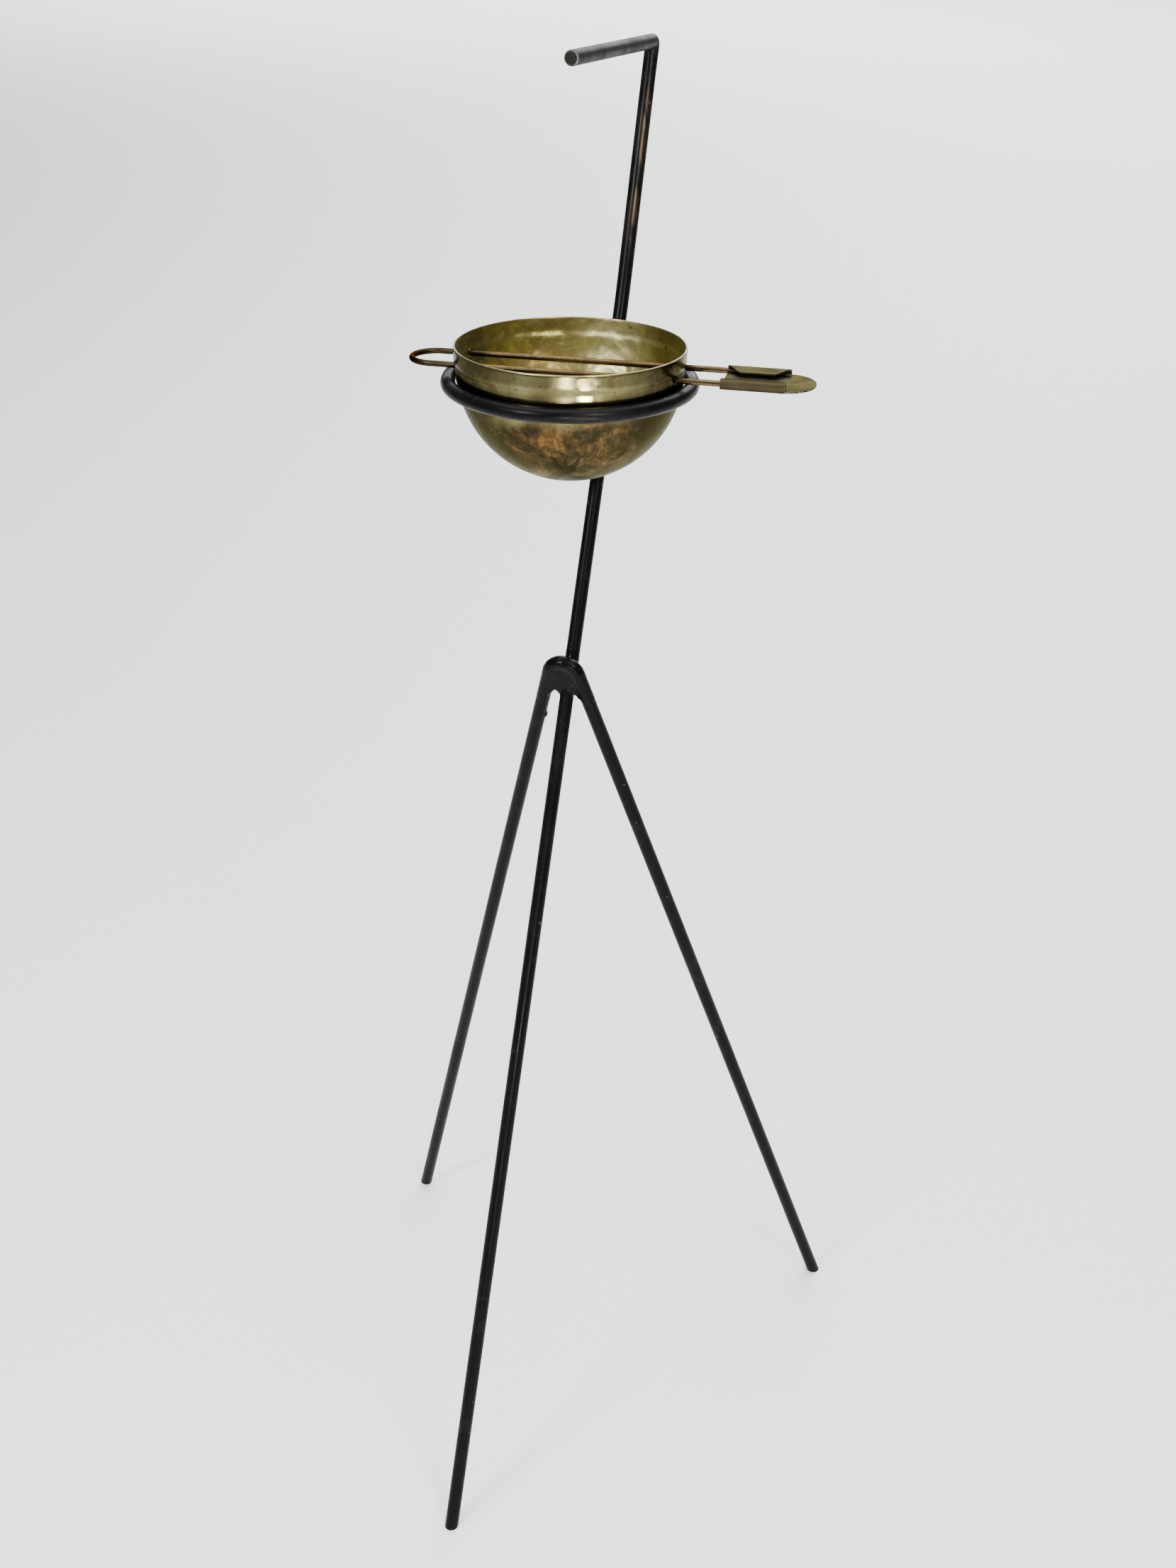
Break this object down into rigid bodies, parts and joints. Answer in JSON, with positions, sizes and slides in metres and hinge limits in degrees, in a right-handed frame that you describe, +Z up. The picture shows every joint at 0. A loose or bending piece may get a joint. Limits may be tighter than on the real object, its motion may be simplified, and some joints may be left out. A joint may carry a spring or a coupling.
{
  "type": "standing ashtray",
  "caption": "Floor-standing ashtray: a bent-bar tripod with a carrying handle and a ring that holds a lift-out brass bowl, with a wire rest and a clip plate.",
  "frame": {"origin": "on the floor, under the middle of the whole object's box", "axes": "+Z up, -Y towards the front leg and the handle's free end, +X towards the clip plate"},
  "size_m": [0.303, 0.3132, 0.82],
  "materials": {
    "black_bar": "black satin paint over steel bar, worn on the post",
    "black_legs": "black satin paint over steel bar",
    "black_ring": "black satin paint over steel bar, polished by the bowl",
    "black_weld": "thick gloss black over braze",
    "bowl_brass": "tarnished brass, olive inside, brown patina below",
    "bronze_wire": "worn bronze wire",
    "sheet_brass": "dull brown brass sheet with bright edges"
  },
  "bodies": {
    "stand": {"post_rod": "black_bar", "rear_legs": "black_legs", "leg_weld": "black_weld", "bowl_ring": "black_ring", "ring_weld": "black_weld"},
    "bowl_body": {"bowl": "bowl_brass"},
    "wire_set": {"wire_loop": "bronze_wire", "clip_plate": "sheet_brass"}
  },
  "joints": [
    {"name": "bowl_lift", "type": "slide", "parent": "stand", "child": "bowl_body", "axis": [0, 0, 1], "range_m": [0, 0.08]},
    {"name": "wire_slide", "type": "slide", "parent": "bowl_body", "child": "wire_set", "axis": [0.9885, 0.1513, 0], "range_m": [-0.02, 0.013]}
  ]
}
